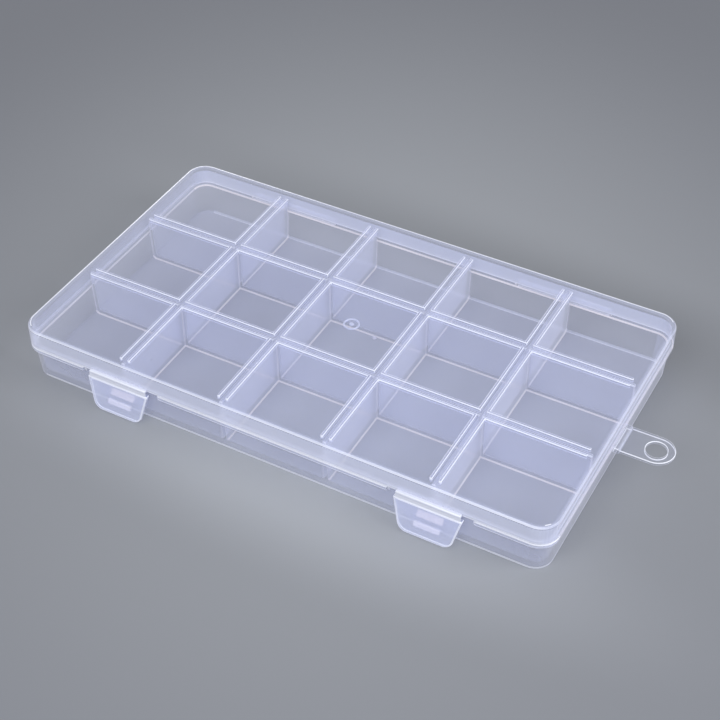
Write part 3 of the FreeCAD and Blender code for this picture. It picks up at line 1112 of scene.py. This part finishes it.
# %% Hinge films
film_thickness = 0.35 * mm
for side in sides:
    low, high = hinge_box[side]
    film = new_moulding()
    middle_z = (low.z + high.z) / 2
    radius = (high.z - low.z) / 2 - film_thickness
    start_edge = [film.verts.new((x, low.y - sunk, middle_z - radius)) for x in (low.x, high.x)]
    film.edges.new(start_edge)
    bmesh.ops.spin(film, geom=film.verts[:] + film.edges[:], cent=(0, low.y - sunk, middle_z), axis=along_x,
                   angle=pi, steps=14)
    bmesh.ops.solidify(film, geom=film.faces[:], thickness=film_thickness)
    for face in film.faces:
        face.smooth = True
    film_piece = finish_piece(film, f"hinge_film_{side}_strip", "film_plastic")
    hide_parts(f"hinge_film_{side}")
    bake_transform(film_piece, "tray", "lid", start=(0, low.y, low.z), end=(0, low.y, high.z))

# %% Latch films
for side in sides:
    low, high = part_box(f"latch_film_{side}")
    film = block((low.x, low.y, low.z - sunk), (high.x, high.y, high.z + sunk))
    upright = [edge for edge in film.edges if stands(edge)]
    bmesh.ops.subdivide_edges(film, edges=upright, cuts=8, use_grid_fill=True)
    mark(film, film.faces)
    film_piece = finish_piece(film, f"latch_film_{side}_strip", "film_plastic")
    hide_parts(f"latch_film_{side}")
    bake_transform(film_piece, "lid", f"latch_{side}", start=(0, low.y, high.z), end=(0, low.y, low.z))

# %% [markdown]
# ## Latch flaps
# A flap is a plate that narrows downwards, with round lower corners, a thicker rail along the top of its
# inner side, and a hook below. It hangs at a slant from its film. The plate is made upright about the
# middle of its top edge and tilted into place at the end. A thin inset draws the pale outline of its face,
# a painted highlight that widens the rounded edge's line.

# %% Flap plate
flap_top_width = 21.6 * mm
flap_foot_width = 16.0 * mm
flap_length = 10.7 * mm
flap_thickness = 1.0 * mm
flap_corner_radius = 3.2 * mm
flap_tilt = radians(10)
flap_rail_height = 1.3 * mm
flap_rail_step = 0.4 * mm


def flap_plate():
    """The upright plate, its outer face in y = 0 and its top edge in z = 0, with some spare above."""
    plate = new_moulding()
    corners = bmesh.ops.create_grid(plate, x_segments=1, y_segments=1, size=0.5)["verts"]
    for vert in corners:
        width = flap_top_width if vert.co.y > 0 else flap_foot_width
        level = flap_thickness if vert.co.y > 0 else -flap_length
        vert.co = (copysign(width / 2, vert.co.x), 0, level)
    inner_verts, _ = extrude_faces(plate, plate.faces[:])
    bmesh.ops.translate(plate, vec=(0, flap_thickness, 0), verts=inner_verts)
    turn_outwards(plate)
    foot = [edge for edge in plate.edges
            if edge.calc_length() < 1.5 * flap_thickness and edge.verts[0].co.z < 0]
    corner_turn = pi / 2 - atan2((flap_top_width - flap_foot_width) / 2, flap_length)
    round_edges(plate, foot, flap_corner_radius * tan(corner_turn / 2), steps=8)
    cut(plate, plate.faces[:], (0, 0, -flap_rail_height), upwards)
    rail = [face for face in plate.faces
            if face.normal.y > halfway and middle(face).z > -flap_rail_height]
    rail_verts, _ = extrude_faces(plate, rail)
    bmesh.ops.translate(plate, vec=(0, flap_rail_step, 0), verts=rail_verts)
    return plate


def flap_hang(side, x):
    """Tilts what is made upright and hangs it at a latch bar's face."""
    bar_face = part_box(f"latch_bar_{side}")[0].y
    return Matrix.Translation((x, bar_face, latch_box[side][1].z)) @ Matrix.Rotation(-flap_tilt, 4, "X")


print("flap in mm:", round(flap_top_width / mm, 1), "by", round(flap_length / mm, 1))

# %% Latch flaps
flap_edge_round = 0.22 * mm
flap_outline = 0.3 * mm
# The outline's mark is a painted highlight that widens the rounded edge's line.
flap_outline_mark = 0.75
for side in sides:
    hang = flap_hang(side, middle_x(latch_box[side]))
    flap = flap_plate()
    bmesh.ops.transform(flap, matrix=hang, verts=flap.verts)
    cut(flap, flap.faces[:], (0, 0, latch_box[side][1].z), upwards, clear=True)
    bmesh.ops.edgeloop_fill(flap, edges=border_of(flap))
    turn_outwards(flap)
    bevelled(flap, flap_edge_round)
    outward = hang.to_3x3() @ Vector((0, -1, 0))
    outer_face = [face for face in flap.faces if face.normal.dot(outward) > nearly]
    mark(flap, inset(flap, outer_face, flap_outline, at_border=True), flap_outline_mark)
    stand_in(flap, f"latch_flap_{side}", "latch_plastic", f"latch_{side}")

# %% [markdown]
# ## Hook and catch
# The hook on the flap's inner side goes under a catch on the tray's wall. Both are wedges, drawn as a few
# points in profile and extruded along the box. They show through the flap as pale, warm blocks, painted
# with a warm highlight and milkier than their thickness alone would make them.


# %% Wedge helpers
def wedge(profile, low_x, high_x):
    """A closed (y, z) profile, extruded along X."""
    mesh = new_moulding()
    face = mesh.faces.new([mesh.verts.new((low_x, y, z)) for y, z in profile])
    far_verts, _ = extrude_faces(mesh, [face])
    bmesh.ops.translate(mesh, vec=(high_x - low_x, 0, 0), verts=far_verts)
    turn_outwards(mesh)
    return mesh


def wall_face(level):
    """The y of the front wall's face at a level, a hair inside the wall."""
    return -(outer_y - lean_in(level)) + sunk


print("the wall's face at the floor in mm:", round(wall_face(floor_top) / mm, 2))

# %% Hooks and catches
hook_drop = 6.4 * mm
hook_height = 1.9 * mm
hook_reach = 1.0 * mm
hook_rise = 0.2 * mm
hook_nose = 0.5 * mm
catch_nose = 0.4 * mm
wedge_round = 0.25 * mm
# The hook's marks and the catch's warm mark are painted highlights that show through the flap.
hook_mark, hook_warm_mark = 0.7, 0.5
hook_root, hook_tip = flap_thickness - sunk, flap_thickness + hook_reach
for side in sides:
    upright = [(hook_root, -hook_drop), (hook_tip, -hook_drop - hook_rise),
               (hook_tip, -hook_drop - hook_rise - hook_nose), (hook_root, -hook_drop - hook_height)]
    tilted = [flap_hang(side, 0) @ Vector((0, y, z)) for y, z in upright]
    low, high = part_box(f"latch_hook_{side}")
    hook = wedge([(point.y, point.z) for point in tilted], low.x, high.x)
    bevelled(hook, wedge_round, body=hook_mark)
    mark(hook, hook.faces, hook_warm_mark, line="foot_line")
    stand_in(hook, f"latch_hook_{side}", "latch_plastic", f"latch_{side}")

    low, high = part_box(f"latch_catch_{side}")
    profile = [(wall_face(low.z), low.z), (low.y, low.z), (low.y, low.z + catch_nose),
               (wall_face(high.z), high.z)]
    catch = wedge(profile, low.x, high.x)
    bevelled(catch, wedge_round, line="foot_line", body=1.0)
    stand_in(catch, f"latch_catch_{side}", "tray_plastic", "tray")

# %% [markdown]
# ## Hang tab
# A flat tab with a round hole stands out from the right end of the rim. A short line is spun about the
# hole into a ring, and the ring's left half is extruded straight to the rim, where the root is thicker.

# %% Tab plan
tab_low, tab_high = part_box("hang_tab")
tab_half = tab_high.y
hole_x = tab_high.x - tab_half
hole_radius = 3.15 * mm
tab_step = 0.25 * mm
tab_thickness = 1.0 * mm
tab_root = 1.8 * mm
tab_top = tab_high.z - tab_step
tab_bottom = tab_top - tab_thickness
root_end = tab_low.x + tab_root
hole_centre = Vector((hole_x, 0, tab_bottom))

tab = new_moulding()
spoke = [tab.verts.new((hole_x + radius, 0, tab_bottom)) for radius in (hole_radius, tab_half)]
tab.edges.new(spoke)
bmesh.ops.spin(tab, geom=tab.verts[:] + tab.edges[:], cent=hole_centre, axis=upwards,
               angle=2 * pi, steps=64, use_merge=True)
left_arc = []
for edge in tab.edges:
    nearest = min((vert.co - hole_centre).length for vert in edge.verts)
    centre = (edge.verts[0].co + edge.verts[1].co) / 2
    if edge.is_boundary and nearest > tab_half - tiny and centre.x < hole_x:
        left_arc.append(edge)
straight = bmesh.ops.extrude_edge_only(tab, edges=left_arc)["geom"]
for vert in verts_of(straight):
    vert.co.x = tab_low.x - sunk
bmesh.ops.remove_doubles(tab, verts=tab.verts, dist=tiny / 10)
bmesh.ops.dissolve_degenerate(tab, edges=tab.edges, dist=tiny / 10)
cut(tab, tab.faces[:], (root_end, 0, 0), along_x)
print("tab plan faces:", len(tab.faces))

# %% Hang tab
tab_flatness = radians(0.5)
tab_edge_round = 0.22 * mm
tab_step_width = 0.3 * mm
tab_step_mark = 0.6
raise_faces(tab, tab.faces[:], tab_top)
turn_outwards(tab)
for way, level in ((1, tab_high.z), (-1, tab_low.z)):
    root = [face for face in tab.faces
            if face.normal.z * way > halfway and middle(face).x < root_end]
    raise_faces(tab, root, level)
bmesh.ops.dissolve_limit(tab, angle_limit=tab_flatness, verts=tab.verts, edges=tab.edges)
for face in bevelled(tab, tab_edge_round):
    if abs(middle(face).x - root_end) < tab_step_width:
        mark(tab, [face], tab_step_mark)
stand_in(tab, "hang_tab", "tray_plastic", "tray")
